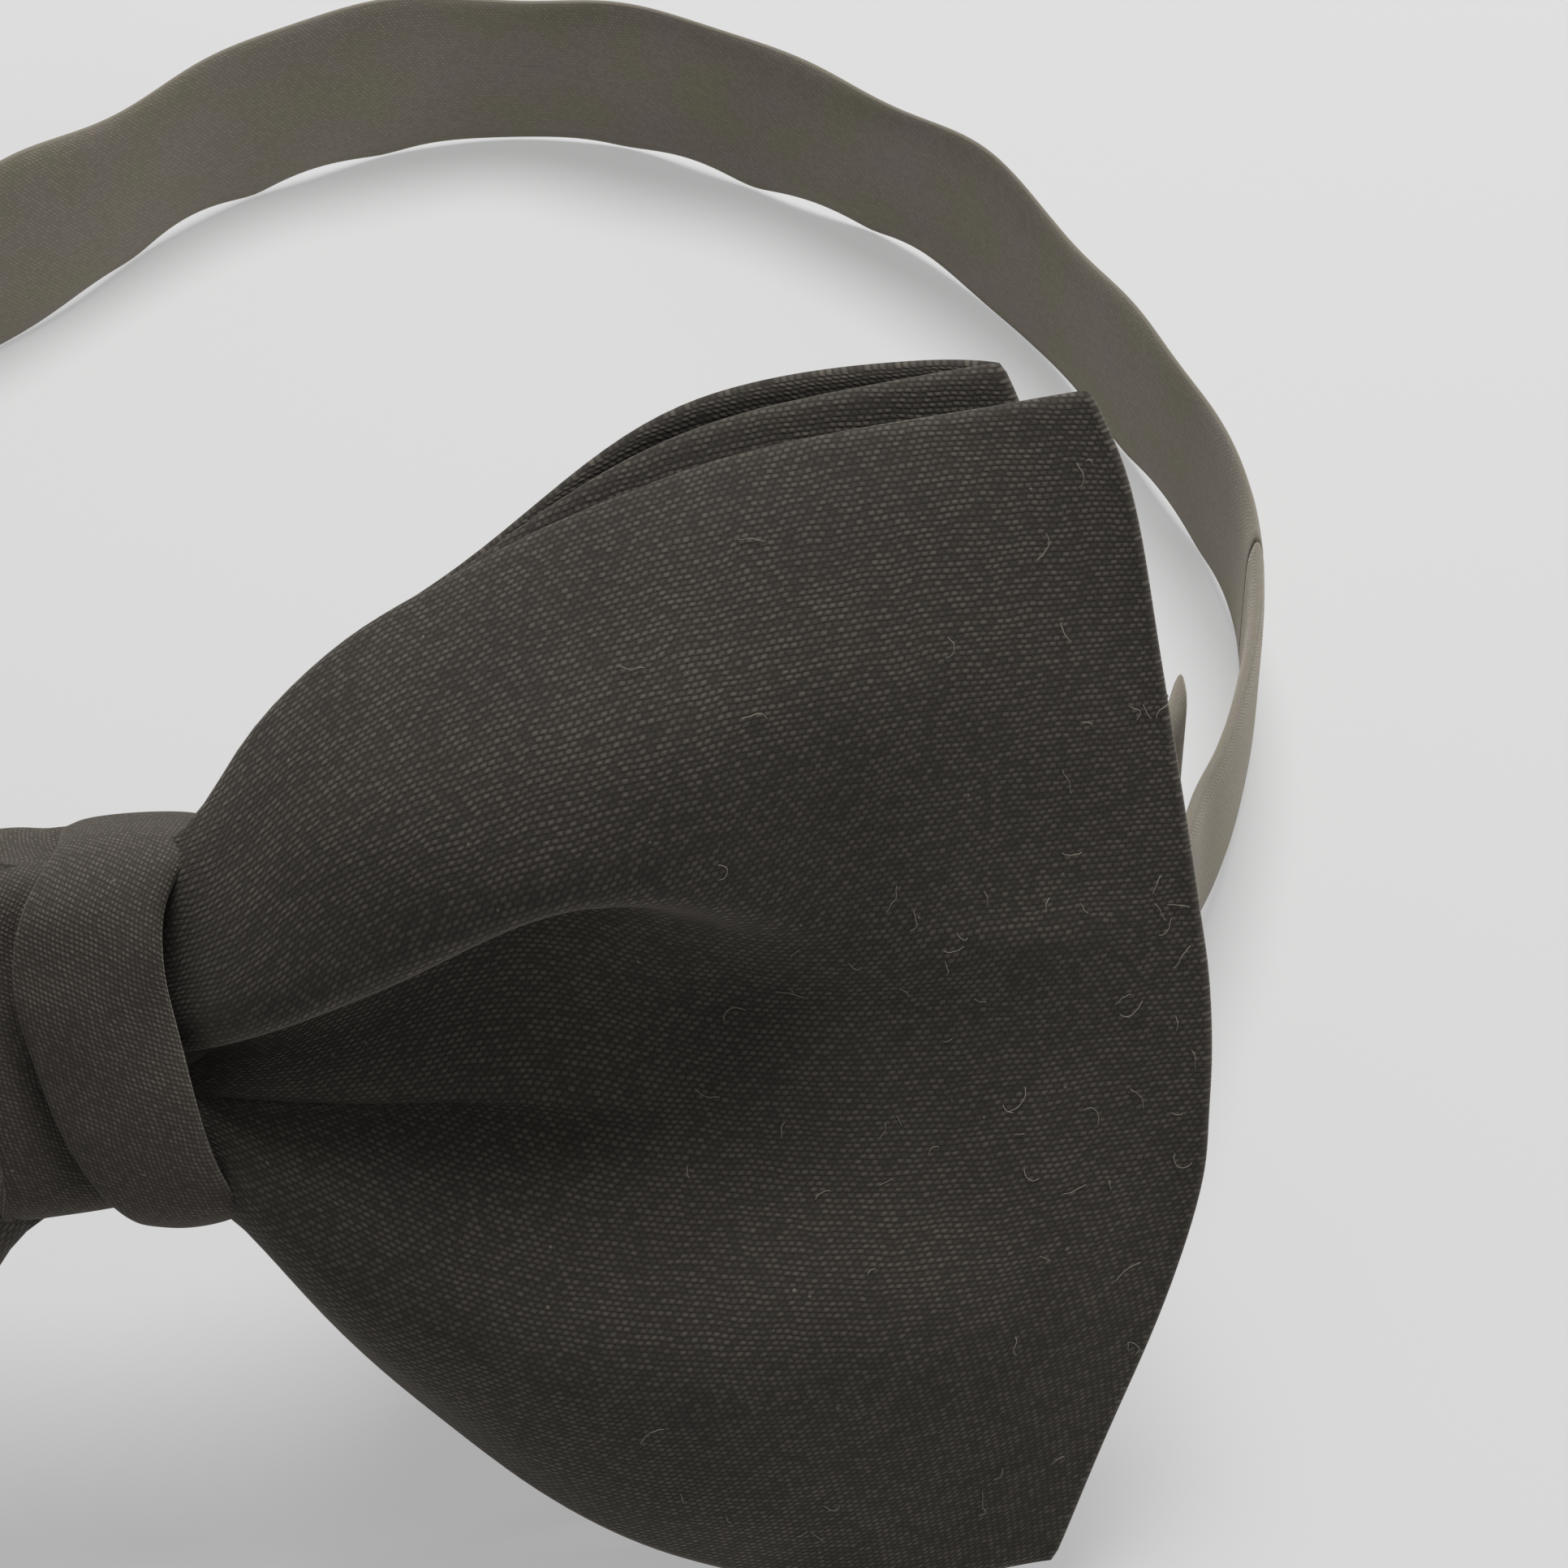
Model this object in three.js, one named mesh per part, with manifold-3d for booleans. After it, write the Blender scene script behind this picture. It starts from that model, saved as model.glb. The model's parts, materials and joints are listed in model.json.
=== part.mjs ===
// Pre-tied bow tie: a double bow held by a wrapped knot on an adjustable neckband.
// Millimetres, +Z up. The bow leans back, facing -Y, on the lower edges of its wings,
// and the neckband stands on its edge behind it, so the tie rests as a tripod.
import * as THREE from 'three';
import { mergeVertices } from 'three/addons/utils/BufferGeometryUtils.js';
import Module from 'manifold-3d';

const wasm = await Module();
wasm.setup();

// Driving dimensions
const clearance = 0.3;            // between pieces that touch or slide
const recline = THREE.MathUtils.degToRad(35);
const cloth = 0.5;                // one thickness of bow cloth, turned and pressed
const stiffener = 0.3;            // woven interlining
const waistSlit = 0.3;            // half the gap left between the pinched layers
const frontBow = { halfLength: 60.5, bellyDepth: 3.6, spread: 1.9 };
const rearBow = { halfLength: 55.5, bellyDepth: 2.5, spread: 1.5 };
const waistHeight = 9.5;          // half the height of both bows under the knot
const wingRise = 32.0;            // half height of a wing end above the middle line
const wingDrop = 35.0;            // and below it
const flareLength = 12.5;         // how fast a wing opens from the knot
const endPull = { top: 0.07, bottom: 0.18 };
const knotWidth = 14.0;
const knotCloth = 0.9;            // wall of the knot wrap
const knotCorner = 2.2;           // inner radius of the wrap's corners
const ringFacets = 3;             // across the width of the wrap and of the thread
const paddingDepth = 1.2;
const paddingInset = 1.0;         // short of each side of the wrap
const paddingSlope = 1.5;
const paddingShort = 2.5;         // of the wrap at the top and the bottom
const threadWidth = 0.4;
const threadRun = 3.0;            // width of the binding along the bow
const zigzag = { turns: 12, spread: 0.9, endInset: 4.0 };
const bandWidth = 15.0;
const bandThick = 1.2;
const seamThick = 0.4;
const seamLength = 1.6;
const seamMargin = 1.5;           // from the edges of the band
const seamInset = 2.0;            // from the end of the cloth to its seam
const metal = 1.2;                // thickness of the clasp and slider wire
const cornerReach = 0.75;         // of the wire's thickness, from its middle to its corners
const eyeLength = 8.0;            // between the centres of its two bars
const tongueWidth = 7.0;
const tongueThick = 1.0;
const tongueReach = 2.28;         // how far the tongue stands out through the eye
const tonguePlay = 0.7;           // between the tongue and the bar of the eye it pulls on
const sliderLength = 8.0;
const sliderPlace = 14.0;         // from the hook bar to the middle of the slider
const sliderClearance = 0.8;
const tailLength = 48.0;          // folded-back end of the adjustable strap
const tailLift = 2.2;             // how far the loose tail stands off beyond the slider
const tailLiftRun = 20.0;         // over which it does so
const layerStart = 2.2;           // past the hook bar, where the strap's two layers begin to
const layerRun = 9.0;             // come together, and the length they do it over
const foldRoom = 3.0;             // a folded end starts this far from its bar
const hookNeck = 3.2;             // flat of the hook between its window and its tongue
const frameStep = 5.0;            // between the cross-sections of the band
const eyeFold = 9.0;              // folded-back end of the neckband at the eye
const claspPlace = 22.0;          // eye bar, along the neckband from the knot
const bendPlace = 96.0;           // where the free strap end bends away from the neckband
const bendGap = 1.6;
const flatRun = 0.7;              // beyond the knot the band is still flat against the waist
const untwistLength = 28.0;       // over which the band turns from the bow's lean to upright

// Where the soft band lies, seen from above: from the wing's back round the clasp side to the
// back of the neck and home, starting and ending a little behind the wings.
const bandBehindRight = [[22, 1.3], [36, 2.6], [52, 3.3]];    // x, and distance behind the rear bow
const bandFree = [
  [57, 10.6], [60.4, 14.4], [62.4, 18.4], [63.8, 22], [65.8, 26], [68, 31.5], [70.4, 40], [71.4, 49],
  [70.2, 57], [67.6, 64.5], [65, 71], [60.5, 81], [51, 94.5], [37, 105.2], [19, 112.6], [-1, 108],
  [-20, 93.2], [-36, 78], [-48, 64], [-56, 48], [-58.5, 34], [-56, 22],
];
const bandBehindLeft = [[-49, 7.2], [-36, 3.9], [-22, 1.3]];
const bandLowAt = 82;             // distance from the knot where the band meets the table

// Sizes that follow from them
const halfWaist = cloth + clearance + stiffener + waistSlit;
const bowGap = halfWaist + clearance / 2;
const bowFace = bowGap + halfWaist;
const threadFace = bowFace + clearance + threadWidth;
const bandCentre = threadFace + clearance + bandThick / 2;
const wrapFront = -(threadFace + clearance + paddingDepth + clearance);
const wrapBack = bandCentre + bandThick / 2 + clearance;
const waistEnd = knotWidth / 2 + clearance;
const underKnot = waistEnd + flatRun;
const threadHeight = waistHeight + clearance + threadWidth;
const wrapHeight = threadHeight + clearance;
const wingBack = bowGap + rearBow.spread + rearBow.bellyDepth;
const loopRadius = metal * cornerReach + clearance + bandThick / 2;
const hookWindow = loopRadius + bandThick / 2 - metal / 2 + clearance;

const materials = {
  bowCloth: { color: 0x24221f, roughness: 0.9, metalness: 0 },
  knotCloth: { color: 0x2a2824, roughness: 0.9, metalness: 0 },
  bandCloth: { color: 0x3a3733, roughness: 0.9, metalness: 0 },
  interlining: { color: 0xb9b4a6, roughness: 0.95, metalness: 0 },
  wadding: { color: 0xd8d4c8, roughness: 1, metalness: 0 },
  thread: { color: 0x1a1917, roughness: 0.8, metalness: 0 },
  blackMetal: { color: 0x1b1b1c, roughness: 0.4, metalness: 1 },
};

function piece(name, geometry, look) {
  const mesh = new THREE.Mesh(geometry, new THREE.MeshStandardMaterial(materials[look]));
  mesh.name = name;
  return mesh;
}

function mapVertices(geometry, place) {
  const position = geometry.attributes.position;
  const vertex = new THREE.Vector3();
  for (let i = 0; i < position.count; i += 1) {
    vertex.fromBufferAttribute(position, i);
    place(vertex);
    position.setXYZ(i, vertex.x, vertex.y, vertex.z);
  }
  return geometry;
}

const ease = (u) => THREE.MathUtils.smoothstep(u, 0, 1);

// ---- the two bows ----

function wingHeight(x, side) {
  const end = side > 0 ? wingRise : wingDrop;
  const along = Math.max(Math.abs(x) - waistEnd, 0);
  return waistHeight + (end - waistHeight) * (1 - Math.exp(-along / flareLength));
}

function loopDepth(bow, x, inset) {
  const open = ease((Math.abs(x) - waistEnd) / (bow.halfLength / 2));
  return halfWaist + (bow.bellyDepth - halfWaist) * open - inset;
}

// One closed outline of a flattened loop seen from above, folded at each wing end
function loopOutline(bow, inset) {
  const steps = 8;
  const end = bow.halfLength - inset;
  const front = [];
  for (let i = -steps; i <= steps; i += 1) {
    const share = (1 - Math.cos((Math.PI * Math.abs(i)) / steps)) / 2;
    const x = Math.sign(i) * (waistEnd + (end - waistEnd) * share);
    const fold = Math.sqrt(1 - (Math.abs(x) / end) ** 8);
    front.push(new THREE.Vector2(x, -loopDepth(bow, x, inset) * fold));
  }
  const waist = [-waistEnd, waistEnd].map((x) => new THREE.Vector2(x, front[steps].y));
  front.splice(steps, 1, ...waist);
  const back = front.slice(1, -1).reverse().map((point) => new THREE.Vector2(point.x, -point.y));
  return [...front, ...back];
}

// A bow layer between two insets, pinched at the waist; side is -1 in front, 1 behind.
// A closed loop of cloth is a ring with a flat section, so it starts as a torus whose
// section runs up the outer face and down the inner one.
function bowLayer(bow, side, outerInset, thickness, reach) {
  const rows = 6;
  const outlines = [loopOutline(bow, outerInset), loopOutline(bow, outerInset + thickness)];
  const around = outlines[0].length;
  const geometry = new THREE.TorusGeometry(2, 1, 2 * rows + 2, around);
  const place = (row, column) => {
    const inner = row > rows ? 1 : 0;
    const point = outlines[inner][column];
    const level = inner ? 2 * rows + 1 - row : row;
    const share = THREE.MathUtils.clamp((2 * level) / rows - 1, -reach, reach);
    const open = ease((Math.abs(point.x) - waistEnd) / (bow.halfLength / 2));
    const pull = (share > 0 ? endPull.top : endPull.bottom) * share * share * open;
    const y = point.y + side * (bowGap + bow.spread * open);
    return [point.x * (1 - pull), y, share * wingHeight(point.x, share)];
  };
  const position = geometry.attributes.position;
  for (let i = 0; i < position.count; i += 1) {
    const row = Math.floor(i / (around + 1)) % (2 * rows + 2);
    position.setXYZ(i, ...place(row, i % (around + 1) % around));
  }
  return geometry;
}

function addBow(group, bow, side, label) {
  const inner = cloth + clearance;
  group.add(piece(`${label}_fabric`, bowLayer(bow, side, 0, cloth, 1), 'bowCloth'));
  group.add(piece(`${label}_interlining`, bowLayer(bow, side, inner, stiffener, 0.98), 'interlining'));
}

// ---- the knot ----

function roundedOutline(front, back, height, radius) {
  const points = [];
  const corners = [[back, 1, 0], [front, 1, 1], [front, -1, 2], [back, -1, 3]];
  for (const [y, side, quarter] of corners) {
    const centre = new THREE.Vector2(y - Math.sign(y) * radius, side * (height - radius));
    for (let i = 0; i <= 3; i += 1) {
      const angle = (quarter + i / 3) * (Math.PI / 2);
      const out = new THREE.Vector2(Math.cos(angle), Math.sin(angle)).multiplyScalar(radius);
      points.push(out.add(centre));
    }
  }
  return points;
}

// A band of cloth or thread that goes once round the waist of the bow
function waistRing(front, back, height, wall, width, radius) {
  const shape = new THREE.Shape(roundedOutline(front - wall, back + wall, height + wall, radius + wall));
  shape.holes.push(new THREE.Path(roundedOutline(front, back, height, radius)));
  const geometry = new THREE.ExtrudeGeometry(shape, { depth: width, steps: ringFacets, bevelEnabled: false });
  return mapVertices(geometry, (v) => v.set(v.z - width / 2, v.x, v.y));
}

function knotPadding() {
  const shape = new THREE.Shape();
  const halfWidth = knotWidth / 2 - paddingInset;
  shape.moveTo(-halfWidth, -clearance - threadFace);
  shape.lineTo(halfWidth, -clearance - threadFace);
  shape.lineTo(halfWidth - paddingSlope, wrapFront + clearance);
  shape.lineTo(-halfWidth + paddingSlope, wrapFront + clearance);
  const height = wrapHeight - paddingShort;
  const geometry = new THREE.ExtrudeGeometry(shape, { depth: 2 * height, bevelEnabled: false });
  return geometry.translate(0, 0, -height);
}

// The overcast seam that closes the wrap at the back, as one zigzag of thread
function zigzagSeam(length) {
  const { turns, spread } = zigzag;
  const points = [];
  for (let i = 0; i <= turns; i += 1) {
    points.push(new THREE.Vector2((i % 2 ? 1 : -1) * spread, -length / 2 + (length * i) / turns));
  }
  const across = new THREE.Vector2(seamThick * 1.5, 0);
  const outline = [...points, ...points.slice().reverse().map((point) => point.clone().add(across))];
  const shape = new THREE.Shape(outline);
  return new THREE.ExtrudeGeometry(shape, { depth: seamThick, bevelEnabled: false });
}

function addKnot(group) {
  const inside = bowFace + clearance;
  const thread = waistRing(-inside, inside, waistHeight + clearance, threadWidth, threadRun, clearance);
  const wrap = waistRing(wrapFront, wrapBack, wrapHeight, knotCloth, knotWidth, knotCorner);
  const seam = zigzagSeam(2 * (wrapHeight - zigzag.endInset));
  mapVertices(seam, (v) => v.set(v.x, wrapBack + knotCloth + clearance + seamThick - v.z, v.y));
  group.add(piece('waist_binding_thread', thread, 'thread'));
  group.add(piece('knot_padding', knotPadding(), 'wadding'));
  group.add(piece('knot_wrap', wrap, 'knotCloth'));
  group.add(piece('wrap_seam_stitching', seam, 'thread'));
}

const bowGroup = new THREE.Group();
addBow(bowGroup, frontBow, -1, 'front_bow');
addBow(bowGroup, rearBow, 1, 'rear_bow');
addKnot(bowGroup);
bowGroup.rotation.x = -recline;
bowGroup.updateMatrixWorld(true);
const table = new THREE.Box3().setFromObject(bowGroup, true).min.z;

// ---- the neckband ----

const knotLevel = -bandCentre * Math.sin(recline);
const knotBack = bandCentre * Math.cos(recline);
const behindWing = ([x, gap]) => [x, wingBack + gap];
const bandPlan = [
  [0, knotBack], [underKnot, knotBack], ...bandBehindRight.map(behindWing), ...bandFree,
  ...bandBehindLeft.map(behindWing), [-underKnot, knotBack],
];
const route = new THREE.CatmullRomCurve3(
  bandPlan.map(([x, y]) => {
    const fall = ease((Math.hypot(x, y) - underKnot) / (bandLowAt - underKnot));
    const level = THREE.MathUtils.lerp(knotLevel, table + bandWidth / 2, fall);
    return new THREE.Vector3(x, y, level);
  }),
  true,
);
route.arcLengthDivisions = 1200;
const ringLength = route.getLength();

// Axes of the band at a distance from the knot: along it, outwards and up its width
function bandFrame(distance) {
  const share = THREE.MathUtils.euclideanModulo(distance / ringLength, 1);
  const along = route.getTangentAt(share);
  const fromKnot = Math.min(share, 1 - share) * ringLength;
  const lean = recline * (1 - ease((fromKnot - underKnot) / untwistLength));
  const up = new THREE.Vector3(0, Math.sin(lean), Math.cos(lean));
  const out = new THREE.Vector3().crossVectors(along, up).normalize();
  return { origin: route.getPointAt(share), along, out, up: new THREE.Vector3().crossVectors(out, along) };
}

function shifted(frame, alongBy, outBy) {
  const origin = frame.origin.clone();
  origin.addScaledVector(frame.along, alongBy).addScaledVector(frame.out, outBy);
  return { ...frame, origin };
}

// A flat strip of cloth through a list of frames
function strip(frames, width, thickness) {
  const section = new THREE.Shape([
    new THREE.Vector2(-thickness / 2, -width / 2), new THREE.Vector2(thickness / 2, -width / 2),
    new THREE.Vector2(thickness / 2, width / 2), new THREE.Vector2(-thickness / 2, width / 2),
  ]);
  const count = frames.length - 1;
  const geometry = new THREE.ExtrudeGeometry(section, { depth: count, steps: count, bevelEnabled: false });
  return mapVertices(geometry, (v) => {
    const frame = frames[Math.round(v.z)];
    const place = frame.origin.clone().addScaledVector(frame.out, -v.x).addScaledVector(frame.up, v.y);
    v.copy(place);
  });
}

function framesBetween(from, to, step, outBy) {
  const count = Math.max(1, Math.round(Math.abs(to - from) / step));
  return Array.from({ length: count + 1 }, (_, i) => {
    const distance = THREE.MathUtils.lerp(from, to, i / count);
    return shifted(bandFrame(distance), 0, outBy(distance));
  });
}

// Frames of a half turn round a bar, from the outer side of the band to the inner side
function turnFrames(bar, way) {
  const steps = 6;
  return Array.from({ length: steps + 1 }, (_, i) => {
    const angle = (Math.PI * i) / steps;
    const out = bar.out.clone().multiplyScalar(Math.cos(angle));
    out.addScaledVector(bar.along, way * Math.sin(angle));
    return { ...bar, out, origin: bar.origin.clone().addScaledVector(out, loopRadius) };
  });
}

const turnedOver = (frame) => ({ ...frame, out: frame.out.clone().negate() });

const eyeSide = -loopRadius;                       // the eye lies inside the band's line
const hookSide = eyeSide - metal - clearance;      // and the hook inside the eye
const tongueAlong = eyeLength - metal / 2 - tonguePlay - tongueThick / 2;
const hookAlong = tongueAlong + tongueThick / 2 + hookWindow + 2 * metal + hookNeck;
const eyeBar = shifted(bandFrame(claspPlace), 0, eyeSide);
const hookBar = shifted(eyeBar, hookAlong, hookSide - eyeSide);
const hookPlace = claspPlace + hookAlong;
const strapSide = hookSide + loopRadius;

// How far the two layers of the adjustable strap lie outside the neckband's own line
const outerLayer = (at) => strapSide * (1 - ease((at - hookPlace - layerStart) / layerRun));
const innerLayer = (at) => {
  const lift = tailLift * ease((at - hookPlace - sliderPlace - sliderLength) / tailLiftRun);
  const together = outerLayer(at) - bandThick - 2 * clearance - lift;
  const closed = ease((at - hookPlace - layerStart) / layerRun);
  return THREE.MathUtils.lerp(hookSide - loopRadius, together, closed);
};

// Where the two edges of the seam at a folded end lie, from its bar
const seamRows = (fold) => [fold - seamInset - seamLength, fold - seamInset];

// A sewn seam across the band, on the inner face of one of its layers
function stitching(rows) {
  const inset = bandThick / 2 + clearance + seamThick / 2;
  return strip(rows.map((frame) => shifted(frame, 0, -inset)), bandWidth - 2 * seamMargin, seamThick);
}

function addNeckband(group) {
  const runEnd = ringLength + claspPlace - 2 * foldRoom;
  const run = framesBetween(bendPlace + bendGap / 2, runEnd, frameStep, () => 0);
  const fold = [foldRoom, eyeFold].map((back) => turnedOver(shifted(eyeBar, -back, -loopRadius)));
  const band = strip([...run, ...turnFrames(eyeBar, 1), ...fold], bandWidth, bandThick);
  group.add(piece('neckband', band, 'bandCloth'));
  const seam = seamRows(eyeFold).reverse().map((back) => shifted(eyeBar, -back, -loopRadius));
  group.add(piece('eye_end_stitching', stitching(seam), 'thread'));
}

function addAdjustableStrap(group) {
  const outer = framesBetween(bendPlace - bendGap / 2, hookPlace + foldRoom, frameStep, outerLayer);
  const tail = framesBetween(hookPlace + foldRoom, hookPlace + tailLength, frameStep, innerLayer);
  const inner = tail.map(turnedOver);
  const strap = strip([...outer, ...turnFrames(hookBar, -1), ...inner].reverse(), bandWidth, bandThick);
  const hem = seamRows(tailLength).map((at) => hookPlace + at);
  const seam = hem.map((at) => shifted(bandFrame(at), 0, innerLayer(at)));
  group.add(piece('adjustable_strap', strap, 'bandCloth'));
  group.add(piece('tail_end_stitching', stitching(seam), 'thread'));
}

// ---- clasp and slider ----

function solid(geometry) {
  geometry.deleteAttribute('normal');
  geometry.deleteAttribute('uv');
  const merged = mergeVertices(geometry);
  return new wasm.Manifold(new wasm.Mesh({
    numProp: 3,
    vertProperties: merged.attributes.position.array,
    triVerts: merged.index.array,
  }));
}

function geometryOf(body) {
  const mesh = body.getMesh();
  const geometry = new THREE.BufferGeometry();
  geometry.setAttribute('position', new THREE.BufferAttribute(mesh.vertProperties, 3));
  geometry.setIndex(new THREE.BufferAttribute(mesh.triVerts, 1));
  return geometry;
}

// A box from its lowest to its highest corner: along the band, inwards and up its width
function block(low, high) {
  const size = high.map((value, axis) => value - low[axis]);
  const geometry = new THREE.BoxGeometry(...size);
  return solid(geometry.translate(...low.map((value, axis) => value + size[axis] / 2)));
}

function placed(name, body, frame) {
  const mesh = piece(name, geometryOf(body), 'blackMetal');
  const basis = new THREE.Matrix4().makeBasis(frame.along, frame.out.clone().negate(), frame.up);
  mesh.quaternion.setFromRotationMatrix(basis);
  mesh.position.copy(frame.origin);
  return mesh;
}

const windowHalf = bandWidth / 2 + clearance;
const frameHalf = windowHalf + metal;

// A flat rectangular loop of wire from one bar centre to the other
function wireLoop(from, to, thick) {
  const half = thick / 2;
  const plate = block([from - half, -half, -frameHalf], [to + half, half, frameHalf]);
  return plate.subtract(block([from + half, -thick, -windowHalf], [to - half, thick, windowHalf]));
}

function eye() {
  return wireLoop(0, eyeLength, metal);
}

function hook() {
  const far = -(hookWindow + metal);
  const tip = -(hookAlong - tongueAlong) - tongueThick / 2;
  const half = tongueWidth / 2;
  const plate = block([tip, -metal / 2, -half], [far, metal / 2, half]);
  const tongue = block([tip, -tongueReach - clearance, -half], [tip + tongueThick, 0, half]);
  return wireLoop(far, 0, metal).add(plate).add(tongue);
}

function slider() {
  const end = sliderLength / 2;
  const outside = -bandThick / 2 - sliderClearance;
  const inside = bandThick * 1.5 + 2 * clearance + sliderClearance;
  const rail = (side) => {
    const edges = [side * windowHalf, side * frameHalf].sort((a, b) => a - b);
    return block([-end, outside - metal, edges[0]], [end, inside + metal, edges[1]]);
  };
  const bar = (at, depth) => block(
    [at - metal / 2, depth, -frameHalf],
    [at + metal / 2, depth + metal, frameHalf],
  );
  const endBars = [metal / 2 - end, end - metal / 2].map((at) => bar(at, outside - metal));
  const bars = [...endBars, bar(0, inside), rail(1), rail(-1)];
  return wasm.Manifold.union(bars);
}

const tie = new THREE.Group();
tie.add(bowGroup);
addNeckband(tie);
addAdjustableStrap(tie);
tie.add(placed('eye', eye(), eyeBar));
tie.add(placed('hook', hook(), hookBar));
tie.add(placed('slider', slider(), bandFrame(hookPlace + sliderPlace)));

// The origin is under the middle of the tie, where it stands
const box = new THREE.Box3().setFromObject(tie, true);
const middle = box.getCenter(new THREE.Vector3());
tie.position.set(-middle.x, -middle.y, -box.min.z);

export default tie;
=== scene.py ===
import json
import math
import random

import bmesh
import bpy
import numpy as np
from mathutils import Matrix, Vector, noise


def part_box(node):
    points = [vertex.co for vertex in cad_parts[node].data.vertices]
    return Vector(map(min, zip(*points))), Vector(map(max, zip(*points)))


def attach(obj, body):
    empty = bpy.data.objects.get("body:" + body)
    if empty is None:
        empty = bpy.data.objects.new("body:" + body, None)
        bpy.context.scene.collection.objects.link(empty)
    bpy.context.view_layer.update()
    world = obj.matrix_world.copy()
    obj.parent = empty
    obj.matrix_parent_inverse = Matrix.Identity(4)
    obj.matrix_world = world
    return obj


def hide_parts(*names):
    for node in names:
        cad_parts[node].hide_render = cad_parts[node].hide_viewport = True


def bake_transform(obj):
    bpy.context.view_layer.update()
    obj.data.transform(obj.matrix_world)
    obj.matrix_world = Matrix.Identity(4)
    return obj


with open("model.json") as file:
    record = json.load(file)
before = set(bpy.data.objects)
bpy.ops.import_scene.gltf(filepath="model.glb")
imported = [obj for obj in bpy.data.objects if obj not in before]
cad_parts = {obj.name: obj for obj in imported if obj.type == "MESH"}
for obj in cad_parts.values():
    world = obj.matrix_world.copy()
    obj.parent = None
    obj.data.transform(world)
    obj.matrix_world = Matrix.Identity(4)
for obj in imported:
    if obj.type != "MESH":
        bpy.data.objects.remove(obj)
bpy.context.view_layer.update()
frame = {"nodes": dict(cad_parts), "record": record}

mm = 0.001
scene = bpy.context.scene

# The bow leans back: its own axes are right, back and up, with the middle of the knot at 0.
knotLow, knotHigh = (Vector(corner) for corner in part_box("knot_wrap"))
bowCentre = (knotLow + knotHigh) / 2
mounts = {mount["name"]: mount for mount in frame["record"]["mounts"]}
bowRight = Vector((1, 0, 0))
bowBack = Vector(mounts["knot_back"]["axis"]).normalized()
bowUp = bowRight.cross(bowBack)
bowLean = math.atan2(-bowBack.z, bowBack.y)
bowAxes = np.array([bowRight, bowBack, bowUp])


def bowPlaces(points):
    # Points in the bow's own axes and in mm, turned into places in metres
    return np.asarray(points) @ bowAxes * mm + np.array(bowCentre)


def ease(value):
    # Rises softly from 0 to 1
    share = np.clip(value, 0, 1)
    return share * share * (3 - 2 * share)


print("camera")
cameraView = {
    "elevation": 50,      # degrees above the table
    "roll": 4.5,          # degrees
    "distance": 178,      # mm, from the plane that holds the middle of the knot
    "aimRight": 37.07,    # mm, from the knot to the middle of the view
    "aimUp": 13.17,
    "lens": 74.5,         # mm
}


def makeCamera(view):
    elevation = math.radians(view["elevation"])
    roll = math.radians(view["roll"])
    back = Vector((0, -math.cos(elevation), math.sin(elevation)))
    up = back.cross(bowRight)
    viewRight = math.cos(roll) * bowRight - math.sin(roll) * up
    viewUp = math.sin(roll) * bowRight + math.cos(roll) * up
    place = back * view["distance"] + viewRight * view["aimRight"] + viewUp * view["aimUp"]
    data = bpy.data.cameras.new("camera")
    data.lens = view["lens"]
    data.clip_start = 0.01
    camera = bpy.data.objects.new("camera", data)
    axes = Matrix((viewRight, viewUp, back)).transposed().to_4x4()
    camera.matrix_world = Matrix.Translation(bowCentre + place * mm) @ axes
    scene.collection.objects.link(camera)
    scene.camera = camera


makeCamera(cameraView)


print("materials")


def colour(hexValue, alpha=1):
    # sRGB hex to linear
    parts = [int(hexValue[i:i + 2], 16) / 255 for i in (0, 2, 4)]
    return [c / 12.92 if c < 0.04045 else ((c + 0.055) / 1.055) ** 2.4 for c in parts] + [alpha]


def addNode(tree, kind, inputs=None, **settings):
    # An input is a value, a socket, or a node whose first output is meant
    node = tree.nodes.new(kind)
    for name, value in settings.items():
        setattr(node, name, value)
    for name, value in (inputs or {}).items():
        if isinstance(value, bpy.types.Node):
            value = value.outputs[0]
        if isinstance(value, bpy.types.NodeSocket):
            tree.links.new(value, node.inputs[name])
        else:
            node.inputs[name].default_value = value
    return node


def startMaterial(name, **sockets):
    material = bpy.data.materials.new(name)
    material.use_nodes = True
    tree = material.node_tree
    shader = tree.nodes["Principled BSDF"]
    for socket, value in sockets.items():
        shader.inputs[socket.replace("_", " ")].default_value = value
    return material, tree, shader


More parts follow.
